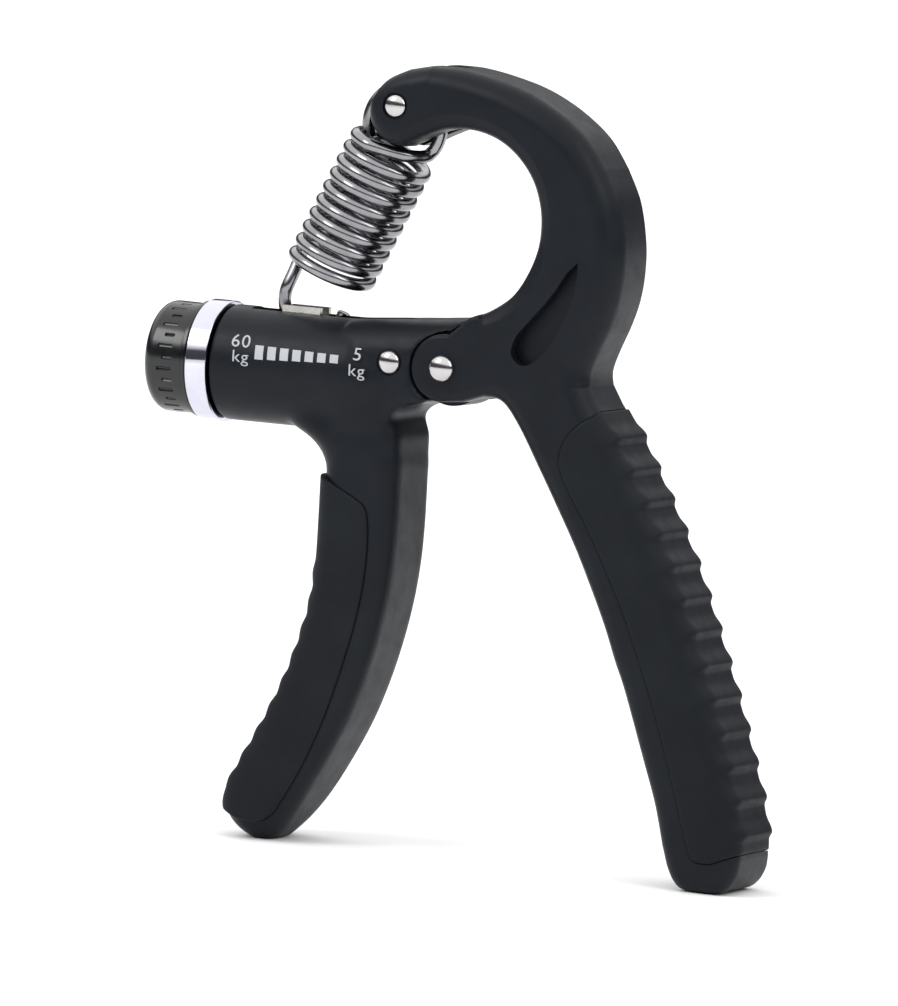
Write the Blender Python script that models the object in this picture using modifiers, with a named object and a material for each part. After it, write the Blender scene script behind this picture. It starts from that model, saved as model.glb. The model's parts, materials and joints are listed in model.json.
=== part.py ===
"""Adjustable hand grip strengthener: two hinged handles, a hook arm, a spring and a screw adjuster.

Metres, +Z up, front face towards -Y. The handles stand on their ends at z = 0. Outlines are (x, z) pairs in
millimetres measured from the pivot axis, anticlockwise seen from the front.
"""

import math

import bmesh
import bpy
from mathutils import Matrix, Vector

MM = 0.001
PIVOT_X, PIVOT_Z = -1.5, 94.4  # the pivot axis in the object's frame
GAP = 0.3

HALF = 9.6  # half depth of both hard handles
PAD_HALF = 10.1  # half depth over the soft pads
CORE_HALF = 6.2  # half depth of the handle cores inside the pads
EAR_R, EAR_INNER = 6.5, 4.5
TONGUE_R, TONGUE_HALF = 7.4, 4.2

BARREL_Z, BARREL_R = -3.4, 10.8
BARREL_LEFT = -48.6
BORE_R, BORE_END = 6.6, -17.0
SLOT_HALF, SLOT_LEFT, SLOT_RIGHT = 2.9, -44.0, -9.5
RING_R, KNOB_R = 11.3, 10.4
SCREW_R, SCREW_PITCH = 2.9, 1.5

PIN = (-13.4, 49.2)  # hook pin that carries the spring's upper eye
DOWEL = (-33.5, 6.4)  # cross dowel of the travelling nut
CROSS_RIVET = (-11.1, 0.2)
HOOK_END, HOOK_END_R = (-11.7, 49.3), 7.8
WIRE_R, COIL_R, HOOK_R = 1.25, 6.9, 6.5
COIL_TURNS, COIL_PITCH, COIL_START = 8.0, 3.08, 12.0
EYE_DROP, HOOK_RISE = 3.75, 3.85  # loop centres measured from the pin and the dowel

for old in list(bpy.data.objects):
    bpy.data.objects.remove(old, do_unlink=True)
scene_root = bpy.context.scene.collection
PARTS = bpy.data.collections.new("hand_grip_strengthener")
CUTTERS = bpy.data.collections.new("cutters")
for made in (PARTS, CUTTERS):
    scene_root.children.link(made)
CUTTERS.hide_render = True


# ---------------------------------------------------------------- helpers


def at(x, y, z):
    """A point given in millimetres from the pivot, in the object's frame."""
    return Vector(((x + PIVOT_X) * MM, y * MM, (z + PIVOT_Z) * MM))


def arc(centre, radius, start, stop, count):
    """Points on a circle, angles in degrees anticlockwise from +X."""
    angles = [math.radians(start + (stop - start) * i / (count - 1)) for i in range(count)]
    return [(centre[0] + radius * math.cos(a), centre[1] + radius * math.sin(a)) for a in angles]


def spline(points, per=3):
    """A smooth run through the points, with `per` steps between neighbours."""
    padded = [points[0]] + list(points) + [points[-1]]
    run = []
    for a, b, c, d in zip(padded, padded[1:], padded[2:], padded[3:]):
        for step in range(per):
            t = step / per
            run.append(
                tuple(
                    0.5 * (2 * q + (r - p) * t + (2 * p - 5 * q + 4 * r - s) * t * t
                           + (3 * q - p - 3 * r + s) * t ** 3)
                    for p, q, r, s in zip(a, b, c, d)
                )
            )
    return run + [tuple(points[-1])]


def inward(outline):
    """The inward mitre vector at each outline point, scaled so that an inset keeps its distance."""
    count = len(outline)
    vectors = []
    for i in range(count):
        before, here, after = (Vector(outline[j % count]) for j in (i - 1, i, i + 1))
        first, second = (here - before).normalized(), (after - here).normalized()
        mean = Vector((-first.y - second.y, first.x + second.x)).normalized()
        cosine = mean.dot(Vector((-first.y, first.x)))
        vectors.append(mean / max(cosine, 0.6))
    return vectors


def inset(outline, distance):
    return [(p[0] + v.x * distance, p[1] + v.y * distance) for p, v in zip(outline, inward(outline))]


def material(name, colour, metallic, roughness):
    made = bpy.data.materials.new(name)
    made.use_nodes = True
    shader = made.node_tree.nodes["Principled BSDF"]
    shader.inputs["Base Color"].default_value = (*colour, 1.0)
    shader.inputs["Metallic"].default_value = metallic
    shader.inputs["Roughness"].default_value = roughness
    made.diffuse_color = (*colour, 1.0)
    return made


FINISHES = {
    "shell": ((0.022, 0.024, 0.028), 0.0, 0.45),
    "grip": ((0.020, 0.021, 0.022), 0.0, 0.75),
    "gloss": ((0.012, 0.013, 0.015), 0.0, 0.15),
    "chrome": ((0.82, 0.82, 0.84), 1.0, 0.12),
    "steel": ((0.62, 0.62, 0.63), 1.0, 0.3),
    "nylon": ((0.75, 0.74, 0.70), 0.0, 0.5),
}


def link(obj, collection):
    for owner in list(obj.users_collection):
        owner.objects.unlink(obj)
    collection.objects.link(obj)
    if collection is CUTTERS:
        obj.display_type = "WIRE"
        obj.hide_render = True
    return obj


def from_bmesh(name, mesh_data):
    mesh_data.normal_update()
    bmesh.ops.triangulate(mesh_data, faces=mesh_data.faces)
    bmesh.ops.recalc_face_normals(mesh_data, faces=mesh_data.faces)
    mesh = bpy.data.meshes.new(name)
    mesh_data.to_mesh(mesh)
    mesh_data.free()
    obj = bpy.data.objects.new(name, mesh)
    return link(obj, CUTTERS)


def evaluated_mesh(obj):
    graph = bpy.context.evaluated_depsgraph_get()
    return bpy.data.meshes.new_from_object(obj.evaluated_get(graph))


def welded_solid(name, data):
    """The solid that a curve, or an object with modifiers, evaluates to, with its seams welded."""
    holder = data if isinstance(data, bpy.types.Object) else bpy.data.objects.new(name + "_path", data)
    CUTTERS.objects.link(holder)
    mesh = evaluated_mesh(holder)
    bpy.data.objects.remove(holder, do_unlink=True)
    shape = bmesh.new()
    shape.from_mesh(mesh)
    bpy.data.meshes.remove(mesh)
    bmesh.ops.remove_doubles(shape, verts=shape.verts, dist=1e-6)
    return from_bmesh(name, shape)


def flat_plate(name, outline, half, middle=0.0):
    """A plate with square rims, from half in front of middle to half behind it."""
    curve = bpy.data.curves.new(name, "CURVE")
    curve.dimensions = "2D"
    curve.fill_mode = "BOTH"
    curve.extrude = half * MM
    run = curve.splines.new("POLY")
    run.points.add(len(outline) - 1)
    for target, (x, z) in zip(run.points, outline):
        target.co = (x * MM, z * MM, 0.0, 1.0)
    run.use_cyclic_u = True
    obj = welded_solid(name, curve)
    obj.data.transform(Matrix.Translation(at(0, middle, 0)) @ Matrix.Rotation(math.pi / 2, 4, "X"))
    return obj


def plate(name, outline, half, radii, steps=2, lifts=None):
    """A plate along Y whose rim radius changes round its outline: radii holds one for each point.

    It is lofted because a Bevel keeps one width all round. lifts raises points outwards, fading as the rim rounds.
    """
    lifts = lifts or [0.0] * len(outline)
    vectors = inward(outline)
    quarter = [math.pi / 2 * i / steps for i in range(steps + 1)]
    sections = []
    for side, angle in [(-1, a) for a in reversed(quarter)] + [(1, a) for a in quarter]:
        section = []
        for point, vector, radius, lift in zip(outline, vectors, radii, lifts):
            shift = radius * (1 - math.cos(angle)) - lift * math.cos(angle)
            depth = side * (half - radius + radius * math.sin(angle))
            section.append((point[0] + vector.x * shift, depth, point[1] + vector.y * shift))
        sections.append(section)
    return loft(name, sections)


def loft(name, sections):
    """A skin over closed sections of equal point count, capped at both ends. Points are (x, y, z) in mm."""
    mesh = bmesh.new()
    rings = [[mesh.verts.new(at(*point)) for point in section] for section in sections]
    count = len(rings[0])
    for first, second in zip(rings, rings[1:]):
        for i in range(count):
            j = (i + 1) % count
            mesh.faces.new((first[i], first[j], second[j], second[i]))
    mesh.faces.new(rings[0])
    mesh.faces.new(list(reversed(rings[-1])))
    return from_bmesh(name, mesh)


def rounded(low, high, half, low_radius, high_radius, per=3):
    """A closed section: low to high on its first axis, +-half on its second, with rounded corners."""
    points = []
    for sign_u, sign_v, start in ((-1, -1, 180), (1, -1, 270), (1, 1, 0), (-1, 1, 90)):
        radius = low_radius if sign_u < 0 else high_radius
        centre = ((low + radius) if sign_u < 0 else (high - radius), sign_v * (half - radius))
        points += arc(centre, radius, start, start + 90, per + 1)
    return points


# The axis along which a piece turned about its own Z is laid.
LAID_ALONG = {
    "X": Matrix(((0, 0, 1), (1, 0, 0), (0, 1, 0))).to_4x4(),
    "Y": Matrix(((-1, 0, 0), (0, 0, 1), (0, 1, 0))).to_4x4(),
}


def turned(name, profile, centre, axis, steps=32):
    """A turned solid. profile is (along, radius) in mm, round its section."""
    mesh = bpy.data.meshes.new(name)
    edges = [(i, i + 1) for i in range(len(profile) - 1)]
    if profile[0][1] > 0:
        edges.append((len(profile) - 1, 0))
    mesh.from_pydata([(radius * MM, 0, along * MM) for along, radius in profile], edges, [])
    holder = bpy.data.objects.new(name + "_profile", mesh)
    screw = holder.modifiers.new("turn", "SCREW")
    screw.steps = screw.render_steps = steps
    screw.use_merge_vertices = True
    screw.merge_threshold = 1e-6
    obj = welded_solid(name, holder)
    obj.data.transform(Matrix.Translation(at(*centre)) @ LAID_ALONG[axis])
    return obj


def rod(name, start, stop, radius, centre, axis, steps=32):
    shape = bmesh.new()
    middle = Matrix.Translation((0, 0, (start + stop) / 2 * MM))
    bmesh.ops.create_cone(shape, cap_ends=True, segments=steps, radius1=radius * MM, radius2=radius * MM,
                          depth=(stop - start) * MM, matrix=middle)
    obj = from_bmesh(name, shape)
    obj.data.transform(Matrix.Translation(at(*centre)) @ LAID_ALONG[axis])
    return obj


def box(name, low, high):
    low, high = at(*low), at(*high)
    shape = bmesh.new()
    placed = Matrix.Translation((low + high) / 2) @ Matrix.Diagonal((*(high - low), 1.0))
    bmesh.ops.create_cube(shape, size=1.0, matrix=placed)
    return from_bmesh(name, shape)


def boolean(obj, other, operation):
    """Applies one Boolean and leaves the other object among the cutters."""
    modifier = obj.modifiers.new(operation.lower(), "BOOLEAN")
    modifier.operation = operation
    modifier.solver = "MANIFOLD"  # EXACT leaves open edges after a run of cuts
    modifier.object = other
    mesh = evaluated_mesh(obj)
    obj.modifiers.clear()
    obj.data = mesh
    return obj


def cut(obj, *others):
    for other in others:
        boolean(obj, other, "DIFFERENCE")
    return obj


def join(obj, *others):
    for other in others:
        boolean(obj, other, "UNION")
    return obj


def wire(name, points, radius):
    """A round wire through the points, as a mesh."""
    curve = bpy.data.curves.new(name, "CURVE")
    curve.dimensions = "3D"
    curve.bevel_depth = radius * MM
    curve.bevel_resolution = 2
    curve.use_fill_caps = True
    run = curve.splines.new("POLY")
    run.points.add(len(points) - 1)
    for target, point in zip(run.points, points):
        target.co = (*at(*point), 1.0)
    return welded_solid(name, curve)


def flatten(obj):
    """Merges the coplanar slivers that a run of Booleans leaves."""
    mesh = bmesh.new()
    mesh.from_mesh(obj.data)
    bmesh.ops.remove_doubles(mesh, verts=mesh.verts, dist=2e-6)
    bmesh.ops.dissolve_degenerate(mesh, edges=mesh.edges, dist=2e-6)
    bmesh.ops.dissolve_limit(mesh, angle_limit=math.radians(0.3), verts=mesh.verts, edges=mesh.edges)
    bmesh.ops.triangulate(mesh, faces=mesh.faces)
    mesh.to_mesh(obj.data)
    mesh.free()
    return obj


def node(obj, name, finish, origin=(-PIVOT_X, 0.0, -PIVOT_Z), smooth=35.0):
    """Makes obj the named node, with its origin (mm from the pivot) on its joint axis."""
    place = at(*origin)
    obj.data.transform(Matrix.Translation(-place))
    obj.location = place
    obj.name = name
    obj.data.name = name
    obj.data.materials.clear()
    obj.data.materials.append(material(name, *FINISHES[finish]))
    obj.data.shade_smooth()
    obj.data.set_sharp_from_angle(angle=math.radians(smooth))
    obj.hide_render = False
    obj.display_type = "TEXTURED"
    link(obj, PARTS)
    return obj


# ---------------------------------------------------------------- outlines

REAR_LEFT = [(8.2, -4.7), (12.0, -5.4), (15.5, -9.7), (19.8, -16.9), (24.0, -24.0), (28.3, -31.3),
             (32.4, -38.8), (36.1, -46.3), (38.7, -52.4), (41.1, -58.0), (45.5, -70.2), (48.5, -78.5),
             (50.6, -86.3)]
REAR_RIGHT = [(66.9, -84.2), (65.1, -76.8), (63.0, -70.4), (60.8, -64.0), (58.5, -57.8), (56.1, -51.7),
              (53.5, -45.4), (50.8, -39.2), (48.0, -33.0), (44.9, -27.1), (41.6, -21.2), (38.2, -15.4),
              (34.8, -9.7), (31.5, -4.1)]
ARCH_OUTER = [(29.6, -0.6), (29.2, 2.4), (29.9, 6.0), (31.8, 10.2), (33.7, 15.0), (34.6, 20.4),
              (34.4, 26.6), (32.9, 34.4), (30.3, 40.8), (25.9, 46.7), (19.6, 51.3), (12.6, 54.5), (5.6, 56.5),
              (-1.4, 57.5), (-8.0, 57.6)]
VOID = [(-8.3, 43.3), (-3.2, 45.0), (2.6, 45.4), (7.7, 43.9), (11.9, 40.8), (14.9, 36.8), (16.6, 32.4),
        (17.2, 28.4), (16.8, 24.2), (14.9, 19.8), (12.0, 15.8), (8.2, 12.4), (4.9, 10.3)]
SHOULDER = (0.7, 6.45)

LEVER_HALF = HALF - 0.05
LUG_OUTLINE = [(3.2, 9.7), (3.2, 12.0), (-22.0, 12.0), (-22.0, -13.0), (-6.6, -13.0), (-5.6, -9.6),
               (-3.4, -7.3)]
LUG_CROWN = [(-24.0, 6.4), (-16.0, 7.1), (-10.0, 7.7), (-5.0, 8.4), (0.0, 9.2), (4.0, 9.9)]  # x, height
# The lever's level sections: height, outer edge, inner edge, half depth, outer and inner corner radii.
LEVER = [
    (-8.0, -33.0, -7.6, 9.0, 8.6, 1.8),
    (-11.0, -35.2, -7.0, 9.0, 8.6, 2.2),
    (-13.0, -35.0, -7.2, 9.2, 8.4, 2.6),
    (-14.4, -32.4, -7.5, 9.4, 7.6, 3.0),
    (-15.8, -29.4, -7.8, 9.5, 6.8, 3.4),
    (-17.6, -26.9, -8.1, LEVER_HALF, 6.0, 3.8),
    (-20.0, -25.0, -8.3, LEVER_HALF, 5.0, 3.8),
    (-23.0, -24.3, -8.4, LEVER_HALF, 4.4, 3.8),
    (-31.0, -24.3, -8.3, LEVER_HALF, 4.2, 3.8),
    (-39.0, -24.8, -8.6, LEVER_HALF, 4.2, 3.8),
    (-46.5, -25.8, -9.5, LEVER_HALF, 4.2, 3.8),
    (-54.0, -27.6, -11.0, LEVER_HALF, 4.2, 3.8),
    (-62.0, -30.1, -13.2, LEVER_HALF, 4.2, 3.8),
    (-70.0, -33.4, -16.1, LEVER_HALF, 4.2, 3.8),
    (-77.0, -37.0, -19.5, LEVER_HALF, 4.2, 3.8),
    (-83.0, -39.9, -22.8, 9.4, 4.2, 3.8),
    (-87.0, -41.0, -25.2, 9.0, 4.4, 4.0),
    (-90.2, -40.4, -27.4, 8.2, 4.6, 4.2),
    (-92.6, -38.8, -29.4, 7.0, 4.4, 4.0),
    (-94.4, -36.4, -31.2, 5.0, 2.4, 2.4),
]
FRONT_LEFT = [(outer, height) for height, outer, *_ in LEVER[7:17]]

REAR_SEAM = [(31.2, -6.4), (28.0, -9.0), (26.0, -12.0), (25.4, -15.2), (26.3, -18.2), (28.9, -22.6),
             (31.6, -26.6), (36.1, -34.2), (40.8, -43.0), (45.2, -52.6), (49.2, -62.6), (52.6, -72.2),
             (55.4, -80.6), (57.4, -86.6), (59.0, -88.6), (62.2, -88.8)]
FRONT_SEAM = [(-22.6, -23.4), (-19.7, -24.8), (-16.4, -26.4), (-14.2, -28.0), (-13.3, -30.8), (-13.0, -35.6),
              (-13.3, -42.4), (-14.4, -49.6), (-16.0, -56.4), (-17.8, -63.0), (-20.4, -71.0), (-23.3, -78.0),
              (-26.0, -83.2), (-28.6, -87.4), (-30.4, -89.6), (-33.2, -91.0), (-37.4, -90.6)]
REAR_RIBS, FRONT_RIBS = 13, 10
RIB_HEIGHT = 1.0


def ribbed(run, ribs, height, from_share, to_share):
    """Points along a run of outline and, for each, how far evenly spaced ridges raise it."""
    points = [Vector(p) for p in run]
    lengths = [0.0]
    for a, b in zip(points, points[1:]):
        lengths.append(lengths[-1] + (b - a).length)
    total = lengths[-1]
    shape = [(0.0, 0.0), (0.34, 0.0), (0.46, 0.6), (0.58, 1.0), (0.7, 0.8), (0.84, 0.0)]
    pitch = total * (to_share - from_share) / ribs
    marks = [(0.0, 0.0)]
    for rib in range(ribs):
        marks += [(total * from_share + pitch * (rib + t), lift * height) for t, lift in shape]
    marks.append((total, 0.0))
    base = []
    for distance, _ in marks:
        i = max(k for k in range(len(lengths) - 1) if lengths[k] <= distance + 1e-9)
        spot = points[i].lerp(points[i + 1], (distance - lengths[i]) / (lengths[i + 1] - lengths[i]))
        base.append((spot.x, spot.y))
    return base, [lift for _, lift in marks]


# ---------------------------------------------------------------- rear handle, with its hook arm

rear_tip = [(51.6, -90.0), (53.4, -93.0), (56.0, -94.4), (63.0, -94.4), (65.6, -93.0), (67.0, -90.4),
            (67.3, -87.6)]
ear = arc((0, 0), EAR_R, 84, 270, 15)
rear_runs = [
    (ear, 0.5),
    ([(4.4, -6.1)], 1.0),
    (spline(REAR_LEFT, 2), 3.6),
    (rear_tip, 3.0),
    (spline(REAR_RIGHT, 1), 3.6),
    (spline(ARCH_OUTER, 2), 4.6),
    (arc(HOOK_END, HOOK_END_R, 104, 268, 12), 2.6),
    (spline(VOID, 2), 3.2),
]
rear_outline = [p for run, _ in rear_runs for p in run]
rear_radii = [r for run, r in rear_runs for _ in run]
rear_radii[-2:] = [1.6, 0.8]
rear_handle = plate("rear_handle_raw", rear_outline, HALF, rear_radii)

rear_zone = spline(REAR_SEAM, 1) + [(70.0, -85.6), (76.0, -84.0), (60.0, -30.0), (40.0, 2.0), (33.6, -3.4)]
rear_core_outline = (
    [(24.0, -14.6), (24.6, -17.6)]
    + [(x - 2.0, z - 1.2) for x, z in REAR_SEAM[5:13]]
    + [(57.0, -84.6), (63.0, -85.2)]
    + [(x - 3.4, z - 1.5) for x, z in REAR_RIGHT[1:13]]
    + [(30.6, -9.4), (27.4, -11.0)]
)
rear_cutter = cut(
    flat_plate("rear_pad_zone", rear_zone, 14.0),
    flat_plate("rear_core", rear_core_outline, CORE_HALF),
)
cut(
    rear_handle,
    rod("pivot_hole", -20, 20, 1.66, (0, 0, 0), "Y", 20),
    rod("pin_hole", -20, 20, 1.36, (PIN[0], 0, PIN[1]), "Y", 20),
    flat_plate("tongue_slot", arc((0, 0), 7.8, 0, 337.5, 16), EAR_INNER),
    flat_plate("eye_slot", arc(PIN, 13.6, 0, 345, 24), 1.7),
    rear_cutter,
)
CRESCENT = spline([(26.8, 22.6), (26.6, 18.0), (25.0, 12.4), (22.6, 7.4), (19.8, 3.6), (16.6, 2.0),
                   (14.2, 4.0), (15.0, 7.4), (18.0, 11.2), (21.6, 15.6), (24.6, 20.4)], 2)
for side in (-1, 1):
    cut(rear_handle, flat_plate("crescent", CRESCENT, 1.7, side * (HALF + 0.1)))
    cut(
        rear_handle,
        rod("pin_seat", HALF - 0.5, 12, 2.75, (PIN[0], 0, PIN[1]), "Y", 24)
        if side > 0
        else rod("pin_seat", -12, -HALF + 0.5, 2.75, (PIN[0], 0, PIN[1]), "Y", 24),
    )
node(flatten(rear_handle), "rear_handle", "shell")

rear_skin, rear_lifts = ribbed(
    [(67.4, -87.4)] + [(x + 0.3, z + 0.1) for x, z in REAR_RIGHT] + [(30.4, -1.2)],
    REAR_RIBS, RIB_HEIGHT, 0.03, 0.94,
)
rear_inner = (
    [(22.0, -14.0)] + [(x - 4.0, z - 2.0) for x, z in REAR_SEAM[5:13]] + [(54.0, -93.0), (66.0, -92.6)]
)
rear_pad = plate(
    "rear_pad_raw", rear_inner + rear_skin + [(24.0, -2.0)], PAD_HALF,
    [0.6] * len(rear_inner) + [4.2] * len(rear_skin) + [0.6],
    lifts=[0.0] * len(rear_inner) + rear_lifts + [0.0],
)
boolean(rear_pad, flat_plate("rear_pad_limit", inset(rear_zone, GAP), 16.0), "INTERSECT")
cut(rear_pad, flat_plate("rear_core_room", inset(rear_core_outline, -GAP), CORE_HALF + GAP))
node(rear_pad, "rear_grip_pad", "grip")

# ---------------------------------------------------------------- front handle, with its barrel

lug = flat_plate("front_handle_raw", LUG_OUTLINE + arc((0, 0), EAR_R + 0.4, 246, 88, 14), HALF + 0.6)
crown_sections = [[(x, y, z) for z, y in rounded(-30.0, top, HALF, 1.0, 7.6, 5)] for x, top in LUG_CROWN]
boolean(lug, loft("lug_crown", crown_sections), "INTERSECT")
lever = loft("lever", [[(x, y, z) for x, y in rounded(low, high, half, r_low, r_high)]
                       for z, low, high, half, r_low, r_high in LEVER])
barrel = turned(
    "barrel_raw",
    [(BARREL_LEFT, 0), (BARREL_LEFT, BARREL_R - 0.4), (BARREL_LEFT + 0.4, BARREL_R), (-20.0, BARREL_R),
     (-10.5, 9.3), (-10.5, 0)],
    (0, 0, BARREL_Z), "X", 48,
)
tongue = flat_plate("tongue", arc((0, 0), TONGUE_R, 0, 345, 24), TONGUE_HALF)
front_handle = join(lug, barrel, lever, tongue)
front_zone = spline(FRONT_SEAM, 1) + [(-43.0, -88.6), (-50.0, -86.0), (-42.0, -50.0), (-34.0, -22.0),
                                      (-27.0, -21.8)]
front_zone.reverse()
front_core_outline = (
    [(-21.4, -26.6), (-20.6, -31.0)]
    + [(x + 3.4, z + 0.8) for x, z in FRONT_LEFT[1:10]]
    + [(-35.6, -83.0), (-34.6, -87.0)]
    + [(x + 1.8, z + 0.6) for x, z in reversed(FRONT_SEAM[5:14])]
    + [(-11.6, -31.0)]
)
front_cutter = cut(
    flat_plate("front_pad_zone", front_zone, 14.0),
    flat_plate("front_core", front_core_outline, CORE_HALF),
)
cut(
    front_handle,
    front_cutter,
    rod("barrel_bore", BARREL_LEFT - 1, BORE_END, BORE_R, (0, 0, BARREL_Z), "X", 48),
    rod("bearing_seat", BARREL_LEFT - 1, -45.3, 8.2, (0, 0, BARREL_Z), "X", 48),
    rod("bush_seat", BORE_END - 1, -13.0, 3.8, (0, 0, BARREL_Z), "X", 32),
    box("nut_slot", (SLOT_LEFT, -SLOT_HALF, BARREL_Z), (BORE_END + 0.6, SLOT_HALF, 14.0)),
    box("slot_run_out", (SLOT_LEFT, -SLOT_HALF, 3.4), (SLOT_RIGHT, SLOT_HALF, 14.0)),
    rod("front_pivot_hole", -20, 20, 1.75, (0, 0, 0), "Y", 24),
    rod("cross_hole", -20, 20, 1.35, (CROSS_RIVET[0], 0, CROSS_RIVET[1]), "Y", 24),
    rod("cross_seat_front", -13, -9.3, 2.6, (CROSS_RIVET[0], 0, CROSS_RIVET[1]), "Y", 24),
    rod("cross_seat_back", 9.3, 13, 2.6, (CROSS_RIVET[0], 0, CROSS_RIVET[1]), "Y", 24),
)
node(flatten(front_handle), "front_handle", "shell", (0, 0, 0))

front_skin, front_lifts = ribbed(
    [(-24.4, -21.6)] + [(x - 0.3, z) for x, z in FRONT_LEFT] + [(-41.0, -90.6)],
    FRONT_RIBS, RIB_HEIGHT * 0.8, 0.2, 0.93,
)
front_inner = [(-36.0, -95.0), (-30.0, -93.0)] + [(x + 4.0, z) for x, z in reversed(FRONT_SEAM[4:13])]
front_inner += [(-9.0, -22.0), (-16.0, -18.0)]
front_pad = plate(
    "front_pad_raw", front_skin + front_inner, PAD_HALF, [4.4] * len(front_skin) + [0.6] * len(front_inner),
    lifts=front_lifts + [0.0] * len(front_inner),
)
boolean(front_pad, flat_plate("front_pad_limit", inset(front_zone, GAP), 16.0), "INTERSECT")
cut(front_pad, flat_plate("front_core_room", inset(front_core_outline, -GAP), CORE_HALF + GAP))
node(front_pad, "front_grip_pad", "grip", (0, 0, 0))


# ---------------------------------------------------------------- rivets and pins


def rivet(name, place, shank, head, rise, seat, origin, limit):
    """A domed front head with a shank along Y, and the domed cap that closes it at the back."""
    angles = [math.radians(30 * i) for i in range(3)]
    dome = [(seat + rise * math.sin(a), head * math.cos(a)) for a in angles] + [(seat + rise, 0)]
    centre = (place[0], 0, place[1])
    front = [(-along, radius) for along, radius in reversed(dome)]
    front += [(-seat, shank), (limit, shank), (limit, 0)]
    node(turned(name, front, centre, "Y", 18), name, "chrome", origin)
    back = [(seat + 0.6, 0), (seat + 0.6, shank + 0.03), (seat, shank + 0.03)] + dome
    node(turned(name + "_cap", back, centre, "Y", 18), name + "_cap", "chrome", origin)


PIVOT_AXIS, PIN_AXIS = (0, 0, 0), (PIN[0], 0, PIN[1])
rivet("pivot_rivet", (0, 0), 1.6, 2.55, 1.2, HALF + 0.05, PIVOT_AXIS, HALF + 0.3)
rivet("hook_pin", PIN, 1.3, 2.45, 0.9, HALF - 0.45, PIN_AXIS, HALF - 0.2)
rivet("cross_rivet", CROSS_RIVET, 1.3, 2.2, 1.0, 9.35, PIVOT_AXIS, 9.6)

# ---------------------------------------------------------------- screw adjuster

AXIS = (0, 0, BARREL_Z)


def adjuster(name, profile, finish, steps=24):
    return node(turned(name, profile, AXIS, "X", steps), name, finish, AXIS)


adjuster("barrel_bearing", [(-48.4, 2.6), (-48.4, 7.9), (-45.5, 7.9), (-45.5, 2.6)], "nylon")
adjuster("chrome_ring", [(-53.4, 8.6), (-53.4, RING_R - 0.25), (-53.1, RING_R), (-49.2, RING_R),
                         (-48.95, RING_R - 0.25), (-48.95, 8.6)], "chrome", 40)
adjuster("screw_end_bush", [(-16.8, 2.1), (-16.8, 3.65), (-13.3, 3.65), (-13.3, 2.1)], "nylon", 20)
adjuster("thrust_washer", [(-49.4, 2.6), (-49.4, 6.4), (-48.7, 6.4), (-48.7, 2.6)], "steel")
adjuster("retaining_clip", [(-45.2, 2.2), (-45.2, 4.4), (-44.5, 4.4), (-44.5, 2.2)], "steel", 20)

knob = turned(
    "knob_raw",
    [(-49.7, 2.6), (-49.7, 8.2), (-53.7, 8.2), (-53.7, KNOB_R + 0.5), (-54.6, KNOB_R + 0.5),
     (-54.9, KNOB_R - 0.1), (-61.2, KNOB_R), (-62.6, KNOB_R - 0.5), (-63.7, KNOB_R - 1.6), (-64.4, 8.0),
     (-64.4, 6.9), (-63.2, 6.9), (-63.2, 4.1), (-56.0, 4.1), (-56.0, 2.6)],
    AXIS, "X", 30,
)
for i in range(30):
    turn = math.radians(12 * i + 6)
    groove = box("groove", (-61.0, -0.3, KNOB_R - 0.45), (-56.4, 0.3, KNOB_R + 2))
    groove.data.transform(
        Matrix.Translation(at(*AXIS)) @ Matrix.Rotation(turn, 4, "X") @ Matrix.Translation(-at(0, 0, 0))
    )
    cut(knob, groove)
node(knob, "adjusting_knob", "gloss", AXIS)
adjuster("knob_end_cap", [(-64.3, 0), (-64.3, 6.2), (-63.9, 6.6), (-63.5, 6.6), (-63.5, 0)], "gloss")


def threaded(name, head, tail, start, stop, core, crest, pitch, steps=12):
    """A turned rod on the adjuster's axis, with a V thread from start to stop between its head and tail.

    The rows of points between them follow the helix, two rows to a turn: one in the root, one on the crest.
    """
    rows = [[point] * (steps + 1) for point in head]
    for k in range(2 * math.ceil((stop - start) / pitch) + 3):
        row = []
        for j in range(steps + 1):
            x = start + (k / 2 + j / steps - 1) * pitch
            row.append((min(max(x, start), stop), crest if k % 2 and start < x < stop else core))
        rows.append(row)
    rows += [[point] * (steps + 1) for point in tail]
    mesh = bmesh.new()
    rings = []
    for row in rows:
        ring = []
        for j, (x, radius) in enumerate(row):
            angle = 2 * math.pi * j / steps
            ring.append(mesh.verts.new(at(x, radius * math.cos(angle), BARREL_Z + radius * math.sin(angle))))
        rings.append(ring)
    for first, second in zip(rings, rings[1:]):
        for j in range(steps):
            mesh.faces.new((first[j], first[j + 1], second[j + 1], second[j]))
    bmesh.ops.remove_doubles(mesh, verts=mesh.verts, dist=1e-6)
    return from_bmesh(name, mesh)


SCREW_CORE = SCREW_R - 0.55
screw = threaded(
    "screw_raw",
    [(-62.6, 0), (-62.6, 3.8), (-56.3, 3.8), (-56.3, 2.3), (-45.3, 2.3), (-45.3, 1.95), (-44.4, 1.95),
     (-44.4, 2.3)],
    [(-18.4, SCREW_CORE), (-17.9, 1.9), (-13.8, 1.9), (-13.5, 1.6), (-13.5, 0)],
    -43.6, -19.0, SCREW_CORE, SCREW_R, SCREW_PITCH,
)
node(screw, "lead_screw", "steel", AXIS)

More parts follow.
